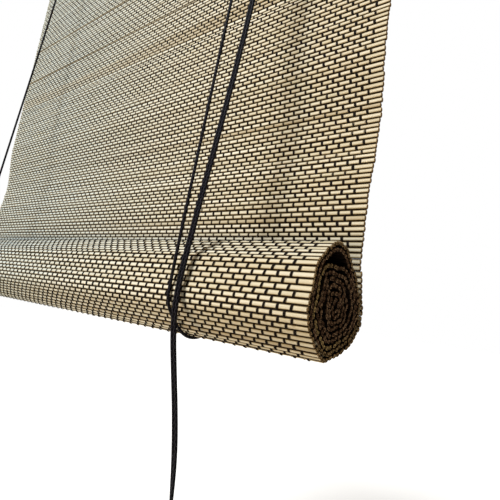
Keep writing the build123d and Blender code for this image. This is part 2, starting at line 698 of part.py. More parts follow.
def pull_route(plane, side):
    """Route of one free strand, from under the lock to the hank, beside its upper fold."""
    first = [(PULL_X, plane, FREE_START_Z)]
    middle_plane = (FRONT_PLANE + REAR_PLANE) / 2
    for fall, blend in PULL_START:
        x = PULL_X + side * STRAND_HALF_GAP * blend
        first.append((x, plane + (middle_plane - plane) * blend, FREE_START_Z - fall))
    rest = []
    for sideways, forward, height in PULL_ROUTE:
        y, z = hang(forward, height)
        rest.append((HALF_WIDTH + sideways + side * STRAND_HALF_GAP, y, z))
    for sideways, above, turn_deg in HANK_ENTRY:
        turn = math.radians(turn_deg)
        x = HANK_X + sideways + side * STRAND_HALF_GAP * math.cos(turn)
        rest.append((x, HANK_Y - side * STRAND_HALF_GAP * math.sin(turn), HANK_FOLD_Z + above))
    return first + rest


def loop_outline(half_width):
    """Upright loop with round folds, drawn in at its waist."""
    half = HANK_RUN / 2
    top = ThreePointArc((half_width, half), (0, half + half_width), (-half_width, half))
    left = Spline(
        (-half_width, half), (HANK_PINCH - half_width, 0), (-half_width, -half),
        tangents=((0, -1), (0, -1)),
    )
    bottom = ThreePointArc((-half_width, -half), (0, -half - half_width), (half_width, -half))
    right = Spline(
        (half_width, -half), (half_width - HANK_PINCH, 0), (half_width, half),
        tangents=((0, 1), (0, 1)),
    )
    return make_face(top + left + bottom + right)


def cord_hank():
    """Outer shape of the wound loops of spare cord, open in the middle."""
    section = loop_outline(HANK_OUTSIDE) - loop_outline(HANK_INSIDE)
    body = extrude(section, HANK_DEPTH)
    return Location((HANK_X, HANK_Y + HANK_DEPTH / 2, HANK_MIDDLE_Z), (90, 0, 0)) * body


def hank_tie():
    """Four turns of cord bound round the hank's waist, as one band."""
    inner_width = 2 * (HANK_OUTSIDE - HANK_PINCH + TIE_SLACK)
    around = 2 * CORD_DIAMETER
    outer = RectangleRounded(inner_width + around, HANK_DEPTH + around, TIE_ROUND + CORD_DIAMETER)
    inner = RectangleRounded(inner_width, HANK_DEPTH, TIE_ROUND)
    band = extrude(outer - inner, TIE_TURNS * CORD_DIAMETER)
    return Location((HANK_X, HANK_Y, HANK_MIDDLE_Z - TIE_TURNS * CORD_RADIUS)) * band


def end_knot():
    """Overhand knot in both cord ends, hanging close below the hank."""
    bottom = HANK_FOLD_Z - HANK_RUN - HANK_OUTSIDE
    tails = upright(CORD_DIAMETER, HANK_X, HANK_Y, bottom, bottom - KNOT_DROP)
    ball = scale(Sphere(KNOT_WIDTH / 2), by=(1, 1, KNOT_HEIGHT / KNOT_WIDTH))
    return tails + Location((HANK_X, HANK_Y, bottom - KNOT_DROP + KNOT_HEIGHT / 2)) * ball


PARTS = {
    "bamboo_mat": bamboo_mat,
    "head_rail": head_rail,
    "clamp_strip": clamp_strip,
    "strip_nails": strip_nails,
    "screw_eye_left": lambda: screw_eye(LEFT_CORD_X),
    "screw_eye_right": lambda: screw_eye(RIGHT_CORD_X),
    "wall_bracket_left": lambda: wall_bracket(-WALL_HOLE_SPACING / 2),
    "wall_bracket_right": lambda: wall_bracket(WALL_HOLE_SPACING / 2),
    "bracket_screws": bracket_screws,
    "pulley_housing": pulley_housing,
    "pulley_sheave": lambda: sheave(LEFT_SHEAVE_X, REAR_PLANE),
    "pulley_axle": lambda: riveted_pin(AXLE_RADIUS, LEFT_SHEAVE_X, REAR_CHEEK, SHEAVE_Z),
    "lock_housing": lock_housing,
    "lock_sheave_front": lambda: sheave(LOCK_SHEAVE_X, FRONT_PLANE),
    "lock_sheave_rear": lambda: sheave(LOCK_SHEAVE_X, REAR_PLANE),
    "lock_axle": lambda: riveted_pin(AXLE_RADIUS, LOCK_SHEAVE_X, FRONT_CHEEK, SHEAVE_Z),
    "lock_pawl": lock_pawl,
    "pawl_pin": lambda: riveted_pin(PAWL_PIN_RADIUS, PAWL_PIVOT_X, FRONT_CHEEK, PAWL_PIVOT_Z),
    "housing_screws": ear_screws,
    "lift_cord_left": lambda: lift_cord(LEFT_CORD_X, REAR_PLANE),
    "lift_cord_right": lambda: lift_cord(RIGHT_CORD_X, FRONT_PLANE),
    "pull_cord_left": lambda: cord(pull_route(REAR_PLANE, -1), "pull_cord_left"),
    "pull_cord_right": lambda: cord(pull_route(FRONT_PLANE, 1), "pull_cord_right"),
    "cord_hank": cord_hank,
    "hank_tie": hank_tie,
    "end_knot": end_knot,
}

os.makedirs("parts", exist_ok=True)
for node, make in PARTS.items():
    export_step(make(), "parts/" + node + ".step")
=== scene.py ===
# Bamboo roll-up blind: reeds woven with black thread, hung from a wooden rail and half rolled up
import math

import bpy
import numpy as np
from mathutils import Matrix, Vector


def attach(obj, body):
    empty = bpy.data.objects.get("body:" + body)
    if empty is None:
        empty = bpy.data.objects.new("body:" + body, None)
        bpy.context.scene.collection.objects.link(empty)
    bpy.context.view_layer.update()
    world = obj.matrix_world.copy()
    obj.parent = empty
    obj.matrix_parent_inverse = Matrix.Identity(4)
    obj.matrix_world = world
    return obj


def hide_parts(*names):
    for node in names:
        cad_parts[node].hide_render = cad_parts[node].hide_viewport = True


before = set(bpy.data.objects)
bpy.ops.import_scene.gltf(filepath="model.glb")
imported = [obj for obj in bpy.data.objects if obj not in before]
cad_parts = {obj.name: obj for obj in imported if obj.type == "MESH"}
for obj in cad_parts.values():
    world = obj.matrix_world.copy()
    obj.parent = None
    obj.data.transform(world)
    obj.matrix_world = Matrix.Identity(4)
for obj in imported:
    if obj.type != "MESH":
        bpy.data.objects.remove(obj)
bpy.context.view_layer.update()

# The view
# The blind is seen from close by, past its right end and level with the roll, so that the reeds
# run away to the left and the roll shows its end.
PICTURE_SIZE = 500
FOCAL_PIXELS = 437.0
AXIS_BELOW_MIDDLE = 2.0
EYE = Vector((0.4210, -0.3252, -0.5151))
LOOK = Vector((-0.6396, 0.7655, 0.0701))
SIDE = Vector((0.7684, 0.6343, 0.0850))

view_data = bpy.data.cameras.new("view")
view_data.sensor_width = 36.0
view_data.lens = FOCAL_PIXELS / PICTURE_SIZE * view_data.sensor_width
view_data.shift_y = AXIS_BELOW_MIDDLE / PICTURE_SIZE
view_data.clip_start = 0.01
view = bpy.data.objects.new("view", view_data)
bpy.context.scene.collection.objects.link(view)
ahead = LOOK.normalized()
sideways = (SIDE - ahead * SIDE.dot(ahead)).normalized()
upwards = sideways.cross(ahead)
view.matrix_world = Matrix.Translation(EYE) @ Matrix((sideways, upwards, -ahead)).transposed().to_4x4()
bpy.context.scene.camera = view


# Head rail and lath
# A planed softwood rail carries the blind, and a thin lath is nailed behind it to clamp the mat.
# Both are finished with a clear matt varnish.
class Wire:
    """One output socket of a material's node. Sums and products of wires and numbers add Math nodes.

    The first wire of a material has no socket: it only starts new nodes in the material's tree.
    """

    def __init__(self, tree, socket=None):
        self.tree = tree
        self.socket = socket

    def node(self, kind, settings, inputs, output=0):
        """Adds a node of a type: its settings are made first, then its sockets get values or wires."""
        made = self.tree.nodes.new(kind)
        for name, value in settings.items():
            setattr(made, name, value)
        for name, value in inputs.items():
            if isinstance(value, Wire):
                self.tree.links.new(value.socket, made.inputs[name])
            else:
                made.inputs[name].default_value = value
        return Wire(self.tree, made.outputs[output])

    def math(self, operation, first, second):
        return self.node("ShaderNodeMath", {"operation": operation}, {0: first, 1: second})

    def __add__(self, other):
        return self.math("ADD", self, other)

    __radd__ = __add__

    def __sub__(self, other):
        return self.math("SUBTRACT", self, other)

    def __rsub__(self, other):
        return self.math("SUBTRACT", other, self)

    def __mul__(self, other):
        return self.math("MULTIPLY", self, other)

    __rmul__ = __mul__

    def sine(self):
        return self.math("SINE", self, 0.0)

    def greater(self, other):
        return self.math("MAXIMUM", self, other)

    def ramp(self, low, high):
        """0 below low, 1 above high, and a smooth step between them."""
        inputs = {"Value": self, "From Min": low, "From Max": high}
        return self.node("ShaderNodeMapRange", {"interpolation_type": "SMOOTHSTEP"}, inputs)

    def between(self, first, second):
        """Colour between two: the first where this wire is 0 and the second where it is 1."""
        return self.node("ShaderNodeMix", {"data_type": "RGBA"}, {0: self, 6: first, 7: second}, 2)

    def place(self, stretch=(1.0, 1.0, 1.0)):
        """Object coordinates in metres, each multiplied by its stretch."""
        raw = self.node("ShaderNodeTexCoord", {}, {}, 3)
        return self.node("ShaderNodeVectorMath", {"operation": "MULTIPLY"}, {0: raw, 1: stretch})

    def noise(self, stretch, detail=2.0):
        """Noise from 0 to 1 with so many waves per metre along each axis."""
        inputs = {"Vector": self.place(stretch), "Scale": 1.0, "Detail": detail}
        return self.node("ShaderNodeTexNoise", {}, inputs)

    def stored(self, name):
        """A number that the mesh holds at its vertices."""
        return self.node("ShaderNodeAttribute", {"attribute_name": name}, {}, 2)

    def bump(self, height, distance, strength=1.0):
        inputs = {"Height": height, "Distance": distance, "Strength": strength}
        return self.node("ShaderNodeBump", {}, inputs)


def finish(name, paint):
    """New material: paint(wire) gives the values and wires of the shader's sockets by name."""
    material = bpy.data.materials.new(name)
    material.use_nodes = True
    shader = material.node_tree.nodes["Principled BSDF"]
    for socket, value in paint(Wire(material.node_tree)).items():
        if isinstance(value, Wire):
            material.node_tree.links.new(value.socket, shader.inputs[socket])
        else:
            shader.inputs[socket].default_value = value
    return material


def dress(material, *names):
    """Puts one material on nodes whose shape is used as it is."""
    for name in names:
        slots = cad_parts[name].data.materials
        slots.clear()
        slots.append(material)


def planed_wood(wire):
    """Pine: long wavy bands of early and late wood, and fine fibres along the rail."""
    waves = wire.noise((3.0, 90.0, 130.0), 3.0)
    rings = (waves * 46.0).sine().ramp(-0.6, 1.0)
    fibre = wire.noise((60.0, 2600.0, 2600.0), 3.0)
    bands = (rings * 0.75).between((0.60, 0.42, 0.22, 1), (0.42, 0.25, 0.11, 1))
    return {
        "Base Color": (fibre * 0.35).between(bands, (0.30, 0.17, 0.08, 1)),
        "Roughness": fibre * 0.2 + 0.42,
        "Coat Weight": 0.15,
        "Coat Roughness": 0.4,
        "Normal": wire.bump(fibre, 0.0002, 0.3),
    }


dress(finish("varnished_pine", planed_wood), "head_rail", "clamp_strip")


# Nails, screws, screw eyes and wall brackets
# Wire nails hold the lath, and two bent steel angles are screwed on the rail's top. All are
# zinc plated, with the dull spangle of cheap fittings.
def zinc(wire):
    """Zinc plating: clouded brightness and small scuffs."""
    cloud = wire.noise((190.0, 190.0, 190.0), 3.0)
    scuff = wire.noise((900.0, 300.0, 1300.0), 2.0)
    return {
        "Base Color": cloud.ramp(0.3, 0.7).between((0.27, 0.27, 0.26, 1), (0.38, 0.38, 0.36, 1)),
        "Metallic": 1.0,
        "Roughness": cloud * 0.2 + scuff * 0.1 + 0.5,
        "Normal": wire.bump(scuff, 0.0001, 0.2),
    }


zinc_finish = finish("zinc_plated_steel", zinc)
dress(zinc_finish, "strip_nails", "bracket_screws", "housing_screws", "screw_eye_left", "screw_eye_right")
dress(zinc_finish, "wall_bracket_left", "wall_bracket_right")

# Bamboo mat
# One sheet of split bamboo reeds, woven side by side. Its top edge is clamped on the rail, it hangs
# from there leaning a little forward, and its lower part is wound up in front of it.
MM = 0.001
HALF_WIDTH = 300.0
WALL_TO_MAT = 24.0
MAT_TOP = -14.0
BEND_Z = -40.0
DROP_LENGTH = 504.0
LEAN = math.radians(6.0)
REED_PITCH = 3.6
REED_THICKNESS = 2.9
TURN_SPACING = 3.2
TURN_COUNT = 8.5
STEPS_PER_TURN = 120
NEAR_STEPS = 16
SMOOTHINGS = 8
ROLL_CORE = (24.5, 12.0)
WAVE_DEPTH = 5.2
WAVE_HEIGHT = 140.0
WAVE_HALF_LENGTH = 62.0
JOIN_HEIGHT = 58.0
JOIN_STEP = -6
JOIN_PARTS = 41
# Places on the roll's outline, as millimetres forward of the mat and above the roll's level
ROLL_OUTLINE = [
    (-10.6, 6.8), (-6.1, -0.4), (1.8, -7.6), (11.9, -12.6), (20.9, -15.7), (29.5, -18.0), (35.5, -15.8),
    (46.4, -6.5), (54.2, 5.0), (55.1, 12.6), (53.3, 20.9), (52.2, 29.5), (49.3, 37.8), (42.1, 44.6),
    (33.0, 51.0), (23.4, 51.8), (15.2, 48.0), (7.0, 39.5), (-1.5, 30.5),
]
# Loose places in the roll: the turn, the middle and half width in degrees, and the depth
LOOSE_PLACES = [
    (2, 84.0, 34.0, 7.6), (3, 30.0, 40.0, 1.8), (3, 100.0, 40.0, 1.5), (4, 155.0, 75.0, 4.2),
    (5, 340.0, 60.0, 2.2), (6, 60.0, 60.0, 1.5),
]


def hang(forward, height):
    """(y, z) of a place in the leaning mat's frame: forward of the mat, above the roll's level."""
    base_y = -WALL_TO_MAT - DROP_LENGTH * math.sin(LEAN)
    base_z = BEND_Z - DROP_LENGTH * math.cos(LEAN)
    y = base_y + height * math.sin(LEAN) - forward * math.cos(LEAN)
    z = base_z + height * math.cos(LEAN) + forward * math.sin(LEAN)
    return y, z


def start_radius(turns):
    """Radius of the mat's middle before winding: a smooth cubic through the roll's outline about its core."""
    away, up = (np.array(ROLL_OUTLINE) - ROLL_CORE).T
    turn = ((np.degrees(np.arctan2(up, away)) - 180.0) % 360.0) / 360.0
    radius = np.hypot(away, up) - REED_THICKNESS / 2 + TURN_SPACING * turn
    order = np.argsort(turn)
    turn = turn[order]
    radius = radius[order]
    turn = np.concatenate([turn[-2:] - 1, turn, turn[:3] + 1])
    radius = np.concatenate([radius[-2:], radius, radius[:3]])
    place = (turns - turn[2]) % 1.0 + turn[2]
    left = np.searchsorted(turn, place, side="right") - 1
    span = turn[left + 1] - turn[left]
    s = (place - turn[left]) / span
    slope_left = (radius[left + 1] - radius[left - 1]) / (turn[left + 1] - turn[left - 1]) * span
    slope_right = (radius[left + 2] - radius[left]) / (turn[left + 2] - turn[left]) * span
    level = radius[left] * (1 + 2 * s) * (1 - s) ** 2 + radius[left + 1] * s * s * (3 - 2 * s)
    return level + slope_left * s * (1 - s) ** 2 - slope_right * s * s * (1 - s)


def wind():
    """Radius of the mat's middle at each step: every turn stays one spacing inside the turn before it."""
    first = np.arange(JOIN_STEP, STEPS_PER_TURN)
    radii = start_radius(first / STEPS_PER_TURN) - TURN_SPACING * first / STEPS_PER_TURN
    near = np.arange(-NEAR_STEPS, NEAR_STEPS + 1)
    for turn in range(1, math.ceil(TURN_COUNT)):
        limits = []
        for step in range(turn * STEPS_PER_TURN, (turn + 1) * STEPS_PER_TURN):
            outer = step - STEPS_PER_TURN + near
            known = np.concatenate([radii, limits])
            outer = outer[outer >= JOIN_STEP]
            around = known[outer - JOIN_STEP]
            along = around * np.cos(2 * np.pi * (step - outer) / STEPS_PER_TURN)
            inner = TURN_SPACING ** 2 - around ** 2 + along ** 2
            close = inner > 0
            limit = radii[step - STEPS_PER_TURN - JOIN_STEP] - TURN_SPACING
            limit = min(limit, (along[close] - np.sqrt(inner[close])).min(initial=limit))
            for loose_turn, middle, half_width, depth in LOOSE_PLACES:
                angle = (180.0 + 360.0 * step / STEPS_PER_TURN) % 360.0
                aside = (angle - middle + 180.0) % 360.0 - 180.0
                if loose_turn == turn and abs(aside) < half_width:
                    limit -= depth * 0.5 * (1.0 + math.cos(math.pi * aside / half_width))
            limits.append(limit)
        settled = [radii[-1]] + limits
        for smoothing in range(SMOOTHINGS):
            for index in range(1, len(limits)):
                mean = (settled[index - 1] + 2 * settled[index] + settled[index + 1]) / 4
                settled[index] = min(limits[index - 1], mean)
        radii = np.concatenate([radii, settled[1:]])
    return radii


def mat_middle():
    """(y, z) points down the mat's middle: upright on the rail, leaning, over the bend, round the spiral."""
    heights = np.arange(DROP_LENGTH - 0.4, JOIN_HEIGHT, -1.6)
    aside = np.clip((heights - WAVE_HEIGHT) / WAVE_HALF_LENGTH, -1, 1)
    hollow = -WAVE_DEPTH * 0.5 * (1 + np.cos(np.pi * aside))
    steps = np.arange(JOIN_STEP, int(TURN_COUNT * STEPS_PER_TURN))
    radii = wind()[:len(steps)]
    angle = np.pi + 2 * np.pi * steps / STEPS_PER_TURN
    spiral = np.stack([ROLL_CORE[0] + radii * np.cos(angle), ROLL_CORE[1] + radii * np.sin(angle)], axis=1)
    start = np.array([0.0, JOIN_HEIGHT])
    reach = np.linalg.norm(spiral[0] - start)
    slope = (spiral[1] - spiral[0]) / np.linalg.norm(spiral[1] - spiral[0])
    s = np.linspace(0.0, 1.0, JOIN_PARTS, endpoint=False)[:, None]
    bend = start + (spiral[0] - start) * s * s * (3 - 2 * s)
    bend = bend + np.array([0.0, -reach]) * s * (1 - s) ** 2 - slope * reach * s * s * (1 - s)
    leaning = np.concatenate([np.stack([hollow, heights], axis=1), bend, spiral])
    y, z = hang(leaning[:, 0], leaning[:, 1])
    on_rail = np.array([(-WALL_TO_MAT, MAT_TOP), (-WALL_TO_MAT, BEND_Z)])
    return np.concatenate([on_rail, np.stack([y, z], axis=1)])


middle = mat_middle()
apart = np.linalg.norm(np.diff(middle, axis=0), axis=1)
middle = middle[np.concatenate([[True], apart > 1e-4])]
middle_length = np.concatenate([[0.0], np.cumsum(np.linalg.norm(np.diff(middle, axis=0), axis=1))])
middle_slope = np.gradient(middle, middle_length, axis=0)


def on_mat(length):
    """Place, unit direction and outward normal of the mat's middle at a length down it."""
    place = np.stack([np.interp(length, middle_length, middle[:, axis]) for axis in (0, 1)], axis=-1)
    slope = np.stack([np.interp(length, middle_length, middle_slope[:, axis]) for axis in (0, 1)], axis=-1)
    slope /= np.linalg.norm(slope, axis=-1, keepdims=True)
    return place, slope, np.stack([-slope[..., 1], slope[..., 0]], axis=-1)


def across_mat(lengths, flat, deep, side=1.0):
    """(y, z) = middle + flat * direction + side * deep * normal, for one grid of flat and deep a length."""
    place, slope, outward = (part[:, None, None] for part in on_mat(lengths))
    return place + flat[..., None] * slope + deep[..., None] * (outward * side)


def build(name, points, faces, materials, material_of=None, corner_map=None, numbers=None):
    """Mesh object from arrays: points (n, 3) in millimetres, faces (m, 4), a map for each face's corners."""
    mesh = bpy.data.meshes.new(name)
    mesh.vertices.add(len(points))
    mesh.vertices.foreach_set("co", (points * MM).ravel())
    mesh.loops.add(faces.size)
    mesh.loops.foreach_set("vertex_index", faces.ravel().astype(np.int32))
    mesh.polygons.add(len(faces))
    mesh.polygons.foreach_set("loop_start", np.arange(0, faces.size, faces.shape[1], dtype=np.int32))
    mesh.polygons.foreach_set("use_smooth", np.ones(len(faces), dtype=bool))
    for material in materials:
        mesh.materials.append(material)
    if material_of is not None:
        mesh.polygons.foreach_set("material_index", material_of.astype(np.int32))
    if corner_map is not None:
        mesh.uv_layers.new(name="map").data.foreach_set("uv", corner_map.ravel())
    for key, value in (numbers or {}).items():
        mesh.attributes.new(key, "FLOAT", "POINT").data.foreach_set("value", value.ravel())
    mesh.update()
    made = bpy.data.objects.new(name, mesh)
    bpy.context.scene.collection.objects.link(made)
    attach(made, "blind")
    return made


def tube_faces(rings, sides):
    """Faces between neighbouring rings of vertices that are numbered ring by ring."""
    ring, side = np.meshgrid(np.arange(rings - 1), np.arange(sides), indexing="ij")
    after = (side + 1) % sides
    near = ring * sides
    far = near + sides
    return np.stack([near + side, near + after, far + after, far + side], axis=-1).reshape(-1, 4)


REED_SEED = 11
REED_SIDES = 16
REED_STATIONS = 14
REED_ROUNDNESS = 2.3
REED_WIDTH_SPREAD = 0.07
THIN_REEDS = 0.015
THIN_REED_WIDTH = 0.72
# Single reeds that are stained, counted down from the rail
BROWN_REEDS = [70, 71, 72, 73]
DARK_REEDS = [46, 61]
REED_CONTACT = 0.985
LESS_SHADE_ON_ROLL = 0.04
REED_WANDER = 0.14
REED_SIDE_WANDER = 0.4
REED_ENDS_UNEVEN = 1.1
END_BULGE = 0.3
END_INSET = 0.72
DROP_REEDS = 150
OUTER_TURN_REEDS = 66
GOLDEN_REED = 266
GOLDEN_REEDS = 14
GOLDEN_OUTSIDE = 0.45
INSIDE_FROM_REED = DROP_REEDS + OUTER_TURN_REEDS
THREAD_PITCH = 4.68
THREAD_FROM_END = 9.9

chance = np.random.default_rng(REED_SEED)
reed_count = int(middle_length[-1] / REED_PITCH)
reed_width = 1.0 + REED_WIDTH_SPREAD * np.clip(chance.standard_normal(reed_count), -2, 2)
reed_width = np.where(chance.random(reed_count) < THIN_REEDS, THIN_REED_WIDTH, reed_width)
reed_width[DARK_REEDS] = THIN_REED_WIDTH
reed_width *= REED_PITCH * reed_count / reed_width.sum()
reed_at = np.cumsum(reed_width) - reed_width / 2
reed_thickness = REED_THICKNESS * chance.uniform(0.82, 0.95, reed_count)
reed_tone = chance.random(reed_count)
reed_tone[BROWN_REEDS] = -0.25
reed_tone[DARK_REEDS] = -1.0


def reed_rise(across):
    """Height of a reed's face as a share of its thickness: a superellipse over -0.5 to 0.5 of its width."""
    return 0.5 * np.clip(1 - np.abs(2 * across) ** REED_ROUNDNESS, 0, 1) ** (1 / REED_ROUNDNESS)


def split_bamboo(wire):
    """Straw that differs by reed and is greyer at the left; painted shade makes it browner at the right and
    dark by threads, reed sides, gaps and inside the roll.
    """
    tone = wire.stored("tone")
    along = wire.node("ShaderNodeSeparateXYZ", {}, {0: wire.place()}, 0)
    fibre = wire.noise((30.0, 1100.0, 1100.0), 4.0)
    patch = wire.noise((16.0, 240.0, 240.0))
    straw = tone.ramp(0.1, 0.95).between((0.60, 0.51, 0.35, 1), (0.74, 0.66, 0.50, 1))
    # Painted shade: the reeds are painted darker and browner towards the right end, where less light reaches
    # them.
    shaded_right = (along.ramp(0.12, 0.30) * 0.5).between(straw, (0.54, 0.43, 0.26, 1))
    tanned = tone.ramp(0.05, 0.02).between(shaded_right, (0.46, 0.36, 0.22, 1))
    stained = tone.ramp(-0.3, -0.9).between(tanned, (0.22, 0.20, 0.15, 1))
    greyed = (along.ramp(0.26, -0.20) * tone.ramp(-0.9, 0.1)).between(stained, (0.51, 0.55, 0.50, 1))
    streaked = (fibre.ramp(0.40, 0.75) * 0.35).between(greyed, (0.38, 0.29, 0.15, 1))
    patched = (patch.ramp(0.52, 0.8) * 0.30).between(streaked, (0.46, 0.45, 0.30, 1))
    # Painted shade: the straw is painted dark next to each stitch on this face of the reed, as the thread's
    # contact shadow, up to the last column of stitches.
    phase = (HALF_WIDTH - THREAD_FROM_END) * MM - along
    weave = (phase * (math.pi / (THREAD_PITCH * MM)) + math.pi / 2).sine() * wire.stored("weave")
    near_thread = weave.ramp(0.62, 0.92) * phase.ramp(-0.003, -0.001)
    thread_shade = (near_thread * 0.8).between(patched, (0.06, 0.035, 0.015, 1))
    # Painted shade: each reed's rounded sides are painted tan and the troughs where neighbouring reeds meet
    # near black, lighter towards the left end, so that only the crown stays pale.
    crown = wire.stored("crown")
    side_shade = crown.ramp(0.80, 0.99).between((0.30, 0.20, 0.07, 1), thread_shade)
    gap = along.ramp(0.20, -0.10).between((0.016, 0.006, 0.000, 1), (0.090, 0.082, 0.062, 1))
    rounded = crown.ramp(0.66, 0.92).between(gap, side_shade)
    # Painted shade: the reeds inside the roll are painted near black.
    return {
        "Base Color": wire.stored("inside").between(rounded, (0.012, 0.006, 0.003, 1)),
        "Roughness": fibre * 0.25 + 0.45,
        "Specular IOR Level": 0.12,
        "Normal": wire.bump(fibre, 0.0002, 0.3),
    }


def end_grain(wire):
    """Sawn reed ends: dark brown with pores, darker at the rim, and golden where the reeds are fresh."""
    pores = wire.noise((2300.0, 2300.0, 2300.0))
    blotch = wire.noise((300.0, 300.0, 300.0))
    grain = pores.ramp(0.35, 0.65).between((0.09, 0.034, 0.012, 1), (0.50, 0.31, 0.17, 1))
    dirty = (blotch.ramp(0.42, 0.60) * 0.75).between(grain, (0.06, 0.020, 0.006, 1))
    golden = (wire.stored("golden") * pores.ramp(0.2, 0.7)).between(dirty, (0.62, 0.42, 0.16, 1))
    return {
        "Base Color": wire.stored("crown").ramp(0.0, 0.5).between((0.012, 0.005, 0.002, 1), golden),
        "Roughness": 0.85,
        "Specular IOR Level": 0.1,
        "Normal": wire.bump(pores, 0.0003, 0.5),
    }


reed_finish = finish("split_bamboo", split_bamboo)
end_finish = finish("bamboo_end_grain", end_grain)


def reeds(name, first, last):
    """Reeds from first to last: a superellipse section carried along X, uneven in width, course and ends."""
    which = np.arange(first, last)
    count = len(which)
    ends = np.array([-1.0, 1.0])[None] * (HALF_WIDTH - chance.uniform(0, REED_ENDS_UNEVEN, (count, 2)))
    share = np.linspace(0.0, 1.0, REED_STATIONS)
    x = ends[:, :1] * (1 - share) + ends[:, 1:] * share
    turn = (np.arange(REED_SIDES) + 0.5) / REED_SIDES * 2 * np.pi
    u = 0.5 * np.sign(np.cos(turn)) * np.abs(np.cos(turn)) ** (2 / REED_ROUNDNESS)
    v = 0.5 * np.sign(np.sin(turn)) * np.abs(np.sin(turn)) ** (2 / REED_ROUNDNESS)
    u /= 2 * u.max()
    wander = REED_WANDER * np.sin(x * 0.017 + chance.uniform(0, 2 * np.pi, (count, 1)))
    flat = u * (reed_width[which] * REED_CONTACT)[:, None, None] + REED_SIDE_WANDER * wander[..., None]
    deep = v * reed_thickness[which][:, None, None] + wander[..., None]
    section = across_mat(reed_at[which], flat, deep)
    points = np.concatenate([np.broadcast_to(x[..., None, None], flat.shape + (1,)), section], axis=-1)
    # Each end is a lid with a rim of its own, and its edge stays sharp
    rims = points[:, [0, -1]]
    centres = rims.mean(axis=2, keepdims=True)
    lids = centres + (rims - centres) * END_INSET
    lids[..., 0] += np.array([-END_BULGE, END_BULGE])[None, :, None]
    whole = np.concatenate([lids[:, :1], rims[:, :1], points, rims[:, 1:], lids[:, 1:]], axis=1)
    rings = whole.shape[1]
    bands = tube_faces(rings, REED_SIDES).reshape(rings - 1, REED_SIDES, 4)
    bands = np.delete(bands, [1, rings - 3], axis=0)
    rung = np.arange(REED_SIDES // 2 - 1)
    lid = np.stack([rung, rung + 1, REED_SIDES - 2 - rung, REED_SIDES - 1 - rung], axis=-1)
    far_lid = lid[:, ::-1] + (rings - 1) * REED_SIDES
    one = np.concatenate([bands.reshape(-1, 4), lid, far_lid])[:, ::-1]
    is_end = np.zeros(len(one))
    is_end[:REED_SIDES] = 1
    is_end[(rings - 4) * REED_SIDES:] = 1
    faces = one[None] + (np.arange(count) * rings * REED_SIDES)[:, None, None]
    # Rolled reeds take a little less painted shade on their sides and in the gaps between them.
    less_shade = LESS_SHADE_ON_ROLL * (which >= DROP_REEDS)[:, None, None]
    crown = np.broadcast_to(2 * np.abs(v) + less_shade, (count, rings, REED_SIDES)).copy()
    crown[:, [0, -1]] = 1.0
    crown[:, [1, -2]] = 0.0
    parity = np.where(which % 2 == 0, 1.0, -1.0)[:, None, None]
    # Painted shade: reeds inside the outermost turn, and the inward faces of the rolled reeds, are painted
    # near black where the roll shades them.
    rolled_in = which[:, None, None] > INSIDE_FROM_REED
    inner_face = (which[:, None, None] > DROP_REEDS) & (v < 0)
    fresh = 2.0 - 2.0 * np.abs(which - GOLDEN_REED) / GOLDEN_REEDS
    golden = np.where(which < INSIDE_FROM_REED, GOLDEN_OUTSIDE, fresh)
    numbers = {
        "crown": crown,
        "inside": np.broadcast_to((rolled_in | inner_face) * 1.0, crown.shape),
        "weave": np.broadcast_to(parity * -np.sign(v), crown.shape),
        "tone": np.broadcast_to(reed_tone[which][:, None, None], crown.shape),
        "golden": np.broadcast_to(np.clip(golden, 0, 1)[:, None, None], crown.shape),
    }
    made = build(name, whole.reshape(-1, 3), faces.reshape(-1, 4), [reed_finish, end_finish],
                 material_of=np.tile(is_end, count), numbers=numbers)
    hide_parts("bamboo_mat")
    return made


reeds("reeds_hanging", 0, DROP_REEDS)
reeds("reeds_rolled", DROP_REEDS, reed_count)

# Binding threads
# Black cotton threads run down the mat every few millimetres. Each lies in front of every second
# reed and behind the others, and its neighbours take the reeds that it leaves.
THREAD_COLUMNS = 125
THREAD_WIDTH = 1.9
THREAD_WIDTH_ON_ROLL = 1.6
THREAD_RISE = 0.34
THREAD_RISE_ON_ROLL = 0.7
THREAD_SIDE_DROP = 0.30
THREAD_WOBBLE = 0.2
THREAD_LEAN = 0.35
FIRST_THREAD_REED = 7


def twisted_cotton(wire):
    """Brown-black cotton with a fuzzy twist."""
    fuzz = wire.noise((2600.0, 2600.0, 2600.0))
    return {
        "Base Color": fuzz.between((0.003, 0.002, 0.001, 1), (0.012, 0.007, 0.004, 1)),
        "Roughness": 0.9,
        "Specular IOR Level": 0.1,
        "Normal": wire.bump(fuzz, 0.0003, 0.5),
    }


thread_finish = finish("black_cotton_thread", twisted_cotton)


